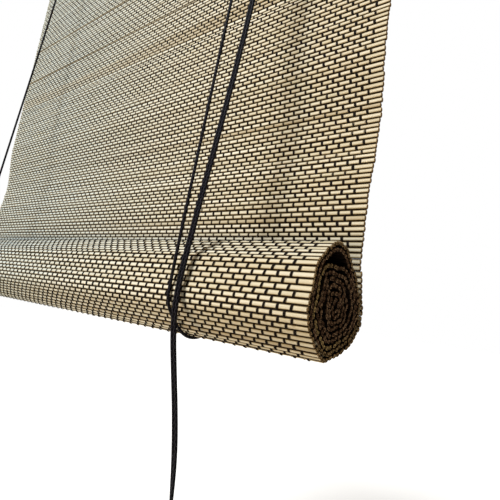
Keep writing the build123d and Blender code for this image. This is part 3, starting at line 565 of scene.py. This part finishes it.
def stitches(name, first, last, side, width, rise):
    """Thread over each second reed on one side of the mat: a ribbon that follows the reed's round face."""
    reed, column = np.meshgrid(np.arange(first, last), np.arange(THREAD_COLUMNS), indexing="ij")
    taken = (reed + column) % 2 == (0 if side < 0 else 1)
    reed = reed[taken]
    column = column[taken]
    over = np.array([-0.53, -0.45, -0.22, 0.22, 0.45, 0.53])
    across = np.array([-1.0, 0.0, 1.0])
    hump = rise - THREAD_SIDE_DROP * across ** 2
    x = HALF_WIDTH - THREAD_FROM_END - column * THREAD_PITCH + chance.normal(0, THREAD_WOBBLE, len(reed))
    half = width / 2 * chance.uniform(0.85, 1.15, len(reed))
    lean = THREAD_LEAN * chance.normal(1.0, 0.5, len(reed))
    flat = np.broadcast_to(over[None, :, None] * reed_width[reed][:, None, None], (len(reed), len(over), 3))
    deep = reed_rise(over)[None, :, None] * reed_thickness[reed][:, None, None] + hump
    wide = (x[:, None] + lean[:, None] * 2 * over)[..., None] + across * half[:, None, None]
    points = np.concatenate([wide[..., None], across_mat(reed_at[reed], flat, deep, side)], axis=-1)
    row, step = np.meshgrid(np.arange(len(over) - 1), np.arange(len(across) - 1), indexing="ij")
    corner = row * len(across) + step
    below = corner + len(across)
    one = np.stack([corner, corner + 1, below + 1, below], axis=-1).reshape(-1, 4)
    if side > 0:
        one = one[:, ::-1]
    faces = one[None] + (np.arange(len(reed)) * len(over) * len(across))[:, None, None]
    made = build(name, points.reshape(-1, 3), faces.reshape(-1, 4), [thread_finish])
    return made


stitches("threads_front", FIRST_THREAD_REED, DROP_REEDS, -1.0, THREAD_WIDTH, THREAD_RISE)
stitches("threads_back", FIRST_THREAD_REED, DROP_REEDS, 1.0, THREAD_WIDTH, THREAD_RISE)
on_roll = (DROP_REEDS, DROP_REEDS + OUTER_TURN_REEDS)
stitches("threads_rolled", *on_roll, 1.0, THREAD_WIDTH_ON_ROLL, THREAD_RISE_ON_ROLL)


# Pulley and cord lock
# The left cord runs over a nylon sheave in a bent steel strap. At the right both cords run over two
# more, down past a fixed pin and a cast brass pawl that grips them when they are let go.
def moulded_nylon(wire):
    """Off-white nylon, slightly mottled and rubbed smooth."""
    mottle = wire.noise((400.0, 400.0, 400.0))
    return {
        "Base Color": mottle.between((0.70, 0.68, 0.60, 1), (0.78, 0.77, 0.71, 1)),
        "Roughness": mottle * 0.2 + 0.32,
    }


def cast_brass(wire):
    """Cast brass with a dull grain."""
    grain = wire.noise((1500.0, 1500.0, 1500.0))
    return {
        "Base Color": grain.between((0.50, 0.34, 0.12, 1), (0.70, 0.52, 0.22, 1)),
        "Metallic": 1.0,
        "Roughness": grain * 0.3 + 0.28,
        "Normal": wire.bump(grain, 0.0002, 0.4),
    }


dress(zinc_finish, "pulley_housing", "pulley_axle", "lock_housing", "lock_axle", "pawl_pin")
dress(finish("off_white_nylon", moulded_nylon), "pulley_sheave", "lock_sheave_front", "lock_sheave_rear")
dress(finish("cast_brass", cast_brass), "lock_pawl")

# Lift cords
# Two black braided polyester cords. Each is knotted above its screw eye, hangs behind the mat,
# passes under the roll, comes up in front of it and runs over its sheave to the lock.
CORD_DIAMETER = 2.3
CORD_SIDES = 14
CORD_TIP_RADIUS = 0.3
CORD_TIP_LENGTH = 0.1
ASKEW = (0.31, 0.87, 0.37)
BRAID_PITCH = 4.2
BRAID_STRANDS = 4
LEFT_CORD_X = -179.0
RIGHT_CORD_X = 191.6
SCREW_EYE_Y = -12.95
SCREW_EYE_Z = -28.0
SCREW_EYE_WIRE = 0.9
KNOT_SIZE = 2.6
KNOT_FLATNESS = 0.62
KNOT_SUNK = 0.3
BELOW_EYE = 6.0
STRAIGHT_RUN = 6 * CORD_DIAMETER
FRONT_PLANE = -57.95
REAR_PLANE = -51.95
PITCH_RADIUS = 9.0
SHEAVE_Z = -25.0
LOCK_SHEAVE_X = RIGHT_CORD_X + PITCH_RADIUS
PULL_X = LOCK_SHEAVE_X + PITCH_RADIUS
FREE_START_Z = -51.0
ROLL_CLEARANCE = CORD_DIAMETER / 2 + 0.35
# Where the cord goes round the roll: the angle in degrees, and how far it stands off
LIFT_WRAP = [
    (183, 0.5), (203, 0.8), (225, 0.8), (250, 0.8), (272, 0.8), (292, 1.2), (318, 1.2), (342, 1.2), (2, 1.0),
]


def braid(wire):
    """Diamond braid on the tube's map: across is once round the cord, and along is in millimetres."""
    place = wire.node("ShaderNodeUVMap", {"uv_map": "map"}, {})
    across = wire.node("ShaderNodeSeparateXYZ", {}, {0: place}, 0) * (2 * math.pi * BRAID_STRANDS)
    along = wire.node("ShaderNodeSeparateXYZ", {}, {0: place}, 1) * (2 * math.pi / BRAID_PITCH)
    strands = (across + along).sine().greater((across - along).sine())
    fuzz = wire.noise((2200.0, 2200.0, 2200.0))
    # Painted highlight: the crests of the strands are painted a little lighter, as fine glints on the braid.
    crest_highlight = strands.ramp(0.2, 1.0) * fuzz
    return {
        "Base Color": crest_highlight.between((0.001, 0.001, 0.001, 1), (0.040, 0.034, 0.042, 1)),
        "Roughness": fuzz * 0.2 + 0.42,
        "Specular IOR Level": 0.06,
        "Normal": wire.bump(strands, 0.0003, 0.7),
    }


cord_finish = finish("black_braided_cord", braid)


def smooth_line(route):
    """Centreline in millimetres of the quadratic B-spline that has the route's points as control points."""
    curve = bpy.data.curves.new("route", "CURVE")
    curve.dimensions = "3D"
    curve.resolution_u = 6
    spline = curve.splines.new("NURBS")
    spline.points.add(len(route) - 1)
    for point, place in zip(spline.points, route):
        point.co = (place[0] * MM, place[1] * MM, place[2] * MM, 1.0)
    spline.order_u = 3
    spline.use_endpoint_u = True
    holder = bpy.data.objects.new("route", curve)
    mesh = bpy.data.meshes.new_from_object(holder)
    line = np.empty(len(mesh.vertices) * 3)
    mesh.vertices.foreach_get("co", line)
    bpy.data.objects.remove(holder)
    bpy.data.meshes.remove(mesh)
    bpy.data.curves.remove(curve)
    return line.reshape(-1, 3) / MM


def cord_tube(name, line, closed=False):
    """Tube round a line: point = centre + radius (cos a N + sin a B), with N carried from ring to ring."""
    travelled = np.concatenate([[0.0], np.cumsum(np.linalg.norm(np.diff(line, axis=0), axis=1))])
    tangents = np.gradient(line, travelled, axis=0)
    tangents /= np.linalg.norm(tangents, axis=1, keepdims=True)
    first = np.cross(tangents[0], ASKEW)
    normals = [first / np.linalg.norm(first)]
    for tangent in tangents[1:]:
        carried = normals[-1] - tangent * np.dot(tangent, normals[-1])
        normals.append(carried / np.linalg.norm(carried))
    normals = np.array(normals)
    binormals = np.cross(tangents, normals)
    angle = np.arange(CORD_SIDES) / CORD_SIDES * 2 * np.pi
    spoke = np.cos(angle)[:, None] * normals[:, None] + np.sin(angle)[:, None] * binormals[:, None]
    rings = line[:, None] + spoke * (CORD_DIAMETER / 2)
    if not closed:
        small = line[:, None] + spoke * CORD_DIAMETER * CORD_TIP_RADIUS
        start = small[:1] - tangents[0] * CORD_DIAMETER * CORD_TIP_LENGTH
        end = small[-1:] + tangents[-1] * CORD_DIAMETER * CORD_TIP_LENGTH
        rings = np.concatenate([start, rings, end])
        travelled = np.concatenate([travelled[:1], travelled, travelled[-1:]])
    faces = tube_faces(len(rings), CORD_SIDES)
    ring = np.repeat(np.arange(len(rings) - 1), CORD_SIDES)
    side = np.tile(np.arange(CORD_SIDES), len(rings) - 1)
    across = np.stack([side, side + 1, side + 1, side], axis=-1) / CORD_SIDES
    along = np.stack([travelled[ring], travelled[ring], travelled[ring + 1], travelled[ring + 1]], axis=-1)
    corner_map = np.stack([across, along], axis=-1)
    if not closed:
        rung = np.arange(CORD_SIDES // 2 - 1)
        lid = np.stack([rung, rung + 1, CORD_SIDES - 2 - rung, CORD_SIDES - 1 - rung], axis=-1)
        lids = np.concatenate([lid[:, ::-1], lid + (len(rings) - 1) * CORD_SIDES])
        faces = np.concatenate([faces, lids])
        corner_map = np.concatenate([corner_map, np.zeros((len(lids), 4, 2))])
    made = build(name, rings.reshape(-1, 3), faces, [cord_finish], corner_map=corner_map)
    return made


def overhand(centre, size, turn):
    """Closed trefoil line, the form of a drawn-up overhand knot, turned about the vertical."""
    t = np.linspace(0.0, 2 * np.pi, 60)
    x = (np.sin(t) + 2 * np.sin(2 * t)) / 3
    z = (np.cos(t) - 2 * np.cos(2 * t)) / 3
    y = -KNOT_FLATNESS * np.sin(3 * t)
    turned_x = x * math.cos(turn) - y * math.sin(turn)
    turned_y = x * math.sin(turn) + y * math.cos(turn)
    return np.array(centre) + size * np.stack([turned_x, turned_y, z], axis=1)


def lift_route(x, plane):
    """Route of a held cord, from its knot above the screw eye to the place where the lock lets it go."""
    eye_knot = SCREW_EYE_Z + SCREW_EYE_WIRE + KNOT_SIZE - KNOT_SUNK
    points = [(x, SCREW_EYE_Y, eye_knot), (x, SCREW_EYE_Y, SCREW_EYE_Z - BELOW_EYE)]
    for angle_deg, extra in LIFT_WRAP:
        turn = (angle_deg + (360 if angle_deg < 90 else 0) - 180.0) / 360.0
        radius = start_radius(turn) - TURN_SPACING * turn + REED_THICKNESS / 2 + ROLL_CLEARANCE + extra
        angle = math.radians(angle_deg)
        forward = ROLL_CORE[0] + radius * math.cos(angle)
        height = ROLL_CORE[1] + radius * math.sin(angle)
        points.append((x, *hang(forward, height)))
    points.append((x, plane, SHEAVE_Z - STRAIGHT_RUN))
    for sheave_x, start, stop in ((x + PITCH_RADIUS, 180, 90), (LOCK_SHEAVE_X, 90, 0)):
        for angle_deg in range(start, stop - 1, -15):
            angle = math.radians(angle_deg)
            height = SHEAVE_Z + PITCH_RADIUS * math.sin(angle)
            points.append((sheave_x + PITCH_RADIUS * math.cos(angle), plane, height))
    points.append((PULL_X, plane, SHEAVE_Z - STRAIGHT_RUN))
    points.append((PULL_X, plane, FREE_START_Z))
    return [point for point, before in zip(points, [None] + points) if point != before]


for name, x, plane in (
    ("lift_cord_left", LEFT_CORD_X, REAR_PLANE),
    ("lift_cord_right", RIGHT_CORD_X, FRONT_PLANE),
):
    route = lift_route(x, plane)
    held = cord_tube(name + "_braid", smooth_line(route))
    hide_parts(name)
    cord_tube(name + "_knot", overhand(route[0], KNOT_SIZE, 0.0), closed=True)

# Pull cords
# Below the lock the same two cords hang free, side by side down the front of the roll. The length
# that they have to spare while the blind is up is wound in a hank of upright loops.
PULL_START = [(12.0, 0.25), (30.0, 0.85)]
# The strands' middle, as millimetres from the right end, forward of the mat and above the roll's level
PULL_ROUTE = [
    (-90.7, 34.0, 432.0), (-90.9, 33.8, 382.0), (-91.3, 35.2, 328.0), (-91.6, 37.6, 276.0),
    (-92.0, 41.2, 224.0), (-92.8, 45.4, 172.0), (-94.4, 50.2, 118.0), (-96.4, 54.6, 66.0),
    (-97.7, 57.8, 26.0), (-97.9, 58.6, 4.0), (-97.8, 56.0, -16.0), (-97.2, 50.8, -38.0),
    (-96.0, 44.2, -66.0), (-94.8, 39.0, -94.0),
]
STRAND_HALF_GAP = 1.3
HANK_X = HALF_WIDTH - 94.5
HANK_Y = -124.8
HANK_FOLD_Z = -690.0
HANK_RUN = 20 * CORD_DIAMETER
HANK_LAYERS = 3
HANK_ROWS = 5
HANK_TURNS = 14
HANK_INNER_FOLD = 3 * CORD_DIAMETER
HANK_ROW_PITCH = 2.35
HANK_PINCH = 4.5
HANK_OUTSIDE = HANK_INNER_FOLD + (HANK_LAYERS - 1) * CORD_DIAMETER + CORD_DIAMETER / 2
HANK_MIDDLE_Z = HANK_FOLD_Z - HANK_RUN / 2
HANK_HALF_DEPTH = HANK_ROWS * HANK_ROW_PITCH
SHOULDER = HANK_OUTSIDE + CORD_DIAMETER / 2 + 0.1
HANK_ENTRY = [
    (0.0, SHOULDER * math.sqrt(2) + 15.0, 30.0),
    (0.0, SHOULDER * math.sqrt(2), 60.0),
    (SHOULDER, SHOULDER * math.tan(math.pi / 8), 90.0),
    (SHOULDER, 0.0, 90.0),
]
KNOT_DROP = 14.0
KNOT_HEIGHT = 11.0
RUN_SHARES = (0.0, 0.25, 0.5, 0.75)
FOLD_ANGLES = (0, 30, 60, 90, 120, 150)


def pull_route(plane, side):
    """Route of one free strand, from under the lock to the hank, beside its upper fold."""
    route = [(PULL_X, plane, FREE_START_Z)]
    middle_plane = (FRONT_PLANE + REAR_PLANE) / 2
    for fall, blend in PULL_START:
        y = plane + (middle_plane - plane) * blend
        route.append((PULL_X + side * STRAND_HALF_GAP * blend, y, FREE_START_Z - fall))
    for from_end, forward, height in PULL_ROUTE:
        route.append((HALF_WIDTH + from_end + side * STRAND_HALF_GAP, *hang(forward, height)))
    for aside, above, turn_deg in HANK_ENTRY:
        turn = math.radians(turn_deg)
        x = HANK_X + aside + side * STRAND_HALF_GAP * math.cos(turn)
        route.append((x, HANK_Y - side * STRAND_HALF_GAP * math.sin(turn), HANK_FOLD_Z + above))
    return route


def layer_and_row(turn):
    """Where a turn lies: layers are laid outermost first, and their rows go to and fro."""
    layer = turn // HANK_ROWS
    row = turn % HANK_ROWS
    return layer, row if layer % 2 == 0 else HANK_ROWS - 1 - row


def hank_route(side):
    """Turns of one strand: down the right, round the lower fold, up the left to its next row, and over."""
    points = []
    half = HANK_RUN / 2
    for turn in range(HANK_TURNS):
        layer, row = layer_and_row(turn)
        next_layer, next_row = layer_and_row(turn + 1)
        fold = HANK_OUTSIDE - CORD_DIAMETER * (layer + 0.5)
        next_fold = HANK_OUTSIDE - CORD_DIAMETER * (next_layer + 0.5)
        y = HANK_Y - side * HANK_ROW_PITCH * (row + 0.5)
        next_y = HANK_Y - side * HANK_ROW_PITCH * (next_row + 0.5)
        for share in RUN_SHARES:
            pinch = HANK_PINCH * 0.5 * (1 - math.cos(2 * math.pi * share))
            points.append((HANK_X + fold - pinch, y, HANK_MIDDLE_Z + half - HANK_RUN * share))
        for angle_deg in FOLD_ANGLES:
            angle = math.radians(angle_deg)
            points.append((HANK_X + fold * math.cos(angle), y, HANK_MIDDLE_Z - half - fold * math.sin(angle)))
        for share in RUN_SHARES:
            pinch = HANK_PINCH * 0.5 * (1 - math.cos(2 * math.pi * share))
            x = HANK_X + pinch - fold - (next_fold - fold) * share
            points.append((x, y + (next_y - y) * share, HANK_MIDDLE_Z - half + HANK_RUN * share))
        for angle_deg in FOLD_ANGLES:
            angle = math.radians(angle_deg)
            x = HANK_X - next_fold * math.cos(angle)
            points.append((x, next_y, HANK_MIDDLE_Z + half + next_fold * math.sin(angle)))
    last_row = -side * HANK_ROW_PITCH * (HANK_ROWS - 0.5)
    outside = -side * (HANK_HALF_DEPTH + CORD_DIAMETER * 0.6)
    points += [
        (HANK_X + HANK_INNER_FOLD, HANK_Y + last_row, HANK_MIDDLE_Z + half),
        (HANK_X + HANK_INNER_FOLD - HANK_PINCH, HANK_Y + last_row, HANK_MIDDLE_Z),
        (HANK_X + 3.0, HANK_Y + last_row, HANK_MIDDLE_Z - 8.0),
        (HANK_X + 3.0, HANK_Y + outside, HANK_MIDDLE_Z - 18.0),
        (HANK_X + 2.0, HANK_Y + outside, HANK_MIDDLE_Z - 30.0),
        (HANK_X + 1.0, HANK_Y + outside, HANK_MIDDLE_Z - half - HANK_OUTSIDE - 4.0),
        (HANK_X, HANK_Y + 0.4 * outside, HANK_MIDDLE_Z - half - HANK_OUTSIDE - 7.0),
        (HANK_X, HANK_Y, HANK_MIDDLE_Z - half - HANK_OUTSIDE - 8.5),
    ]
    return points


# Hank tie and end knot
# Four turns of the same cord bind the hank round its waist, with their ends tucked between the
# loops. The two cord ends are knotted together close under it.
TIE_TURNS = 4
TIE_HALF_WIDTH = HANK_OUTSIDE - HANK_PINCH + 0.8 + CORD_DIAMETER / 2
TIE_HALF_DEPTH = HANK_HALF_DEPTH + CORD_DIAMETER / 2
TIE_STEPS = 24
TIE_SQUARENESS = 4.0


def tie_route():
    """Superellipse in plan that sinks one cord thickness a turn; both ends turn in to the middle."""
    t = np.arange(TIE_TURNS * TIE_STEPS + 1) / TIE_STEPS * 2 * np.pi
    power = 2 / TIE_SQUARENESS
    x = TIE_HALF_WIDTH * np.sign(np.cos(t)) * np.abs(np.cos(t)) ** power
    y = TIE_HALF_DEPTH * np.sign(np.sin(t)) * np.abs(np.sin(t)) ** power
    z = CORD_DIAMETER * ((TIE_TURNS - 1) / 2 - t / (2 * np.pi) * (TIE_TURNS - 1) / TIE_TURNS)
    around = np.stack([HANK_X + x, HANK_Y + y, HANK_MIDDLE_Z + z], axis=1)
    inward = np.array([[HANK_X, HANK_Y, HANK_MIDDLE_Z]])
    return [tuple(point) for point in np.concatenate([inward, around, inward])]


knot_at = (HANK_X, HANK_Y, HANK_MIDDLE_Z - HANK_RUN / 2 - HANK_OUTSIDE - KNOT_DROP + KNOT_HEIGHT / 2)
knots = []
for name, turn in (("end_knot_left", 0.0), ("end_knot_right", 1.05)):
    knot = cord_tube(name, overhand(knot_at, KNOT_HEIGHT / 2 - CORD_DIAMETER / 2, turn), closed=True)
    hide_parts("end_knot")
    knots.append(knot)
tie = cord_tube("hank_tie_cord", smooth_line(tie_route()))
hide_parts("hank_tie")

for name, plane, side, with_pieces in (
    ("pull_cord_left", REAR_PLANE, -1, [knots[0], tie]),
    ("pull_cord_right", FRONT_PLANE, 1, [knots[1]]),
):
    line = smooth_line(pull_route(plane, side) + hank_route(side))
    strand = cord_tube(name + "_braid", line)
    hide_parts(name, "cord_hank")

# Room
# The blind hangs in a white room over a pale floor. A cool light high up in front and to the left
# of it gives the shadows, and a small warm one, low down, reaches under the roll.
FLOOR_Z = -1.05
FLOOR_HALF = 5.0
LIGHT_TARGET = Vector((0.15, -0.10, -0.40))
KEY_FROM = Vector((-0.25, -0.58, 0.75))
KEY_DISTANCE = 2.6
FILL_FROM = Vector((-0.45, -0.80, -0.22))
FILL_DISTANCE = 1.9
ROOM_LIGHT = 0.13


def soft_light(name, direction, distance, size, watts, colour):
    """Square light so far from the blind in a direction, turned towards it."""
    data = bpy.data.lights.new(name, "AREA")
    data.size = size
    data.energy = watts
    data.color = colour
    lamp = bpy.data.objects.new(name, data)
    bpy.context.scene.collection.objects.link(lamp)
    lamp.location = LIGHT_TARGET + direction.normalized() * distance
    lamp.rotation_euler = (LIGHT_TARGET - lamp.location).to_track_quat("-Z", "Y").to_euler()


soft_light("key", KEY_FROM, KEY_DISTANCE, 0.60, 101.0, (0.90, 1.0, 1.13))
soft_light("fill", FILL_FROM, FILL_DISTANCE, 0.40, 12.0, (1.0, 0.77, 0.50))

world = bpy.data.worlds.new("room")
bpy.context.scene.world = world
world.use_nodes = True
sky = Wire(world.node_tree)
seen = sky.node("ShaderNodeLightPath", {}, {}, 0)
backdrop = world.node_tree.nodes["Background"]
room_colour = seen.between((1.0, 0.92, 0.80, 1), (1, 1, 1, 1))
room_strength = seen * (1 - ROOM_LIGHT) + ROOM_LIGHT
world.node_tree.links.new(room_colour.socket, backdrop.inputs["Color"])
world.node_tree.links.new(room_strength.socket, backdrop.inputs["Strength"])


def pale_floor(wire):
    """Matt white floor. It glows a little for the camera, more so far away, so that it meets the room."""
    raw = wire.place()
    distance = wire.node("ShaderNodeVectorMath", {"operation": "LENGTH"}, {0: raw}, 1)
    glow = wire.node("ShaderNodeLightPath", {}, {}, 0) * (distance.ramp(1.1, 2.2) * 0.35 + 0.65)
    return {
        "Base Color": (0.92, 0.85, 0.74, 1),
        "Roughness": 0.9,
        "Emission Color": glow.between((0, 0, 0, 1), (1, 1, 1, 1)),
        "Emission Strength": 1.0,
    }


floor_mesh = bpy.data.meshes.new("floor")
corners = [(-1, -1), (1, -1), (1, 1), (-1, 1)]
floor_mesh.from_pydata([(x * FLOOR_HALF, y * FLOOR_HALF, FLOOR_Z) for x, y in corners], [], [(0, 1, 2, 3)])
floor_mesh.materials.append(finish("pale_floor", pale_floor))
floor = bpy.data.objects.new("floor", floor_mesh)
bpy.context.scene.collection.objects.link(floor)

bpy.context.scene.view_settings.view_transform = "Standard"
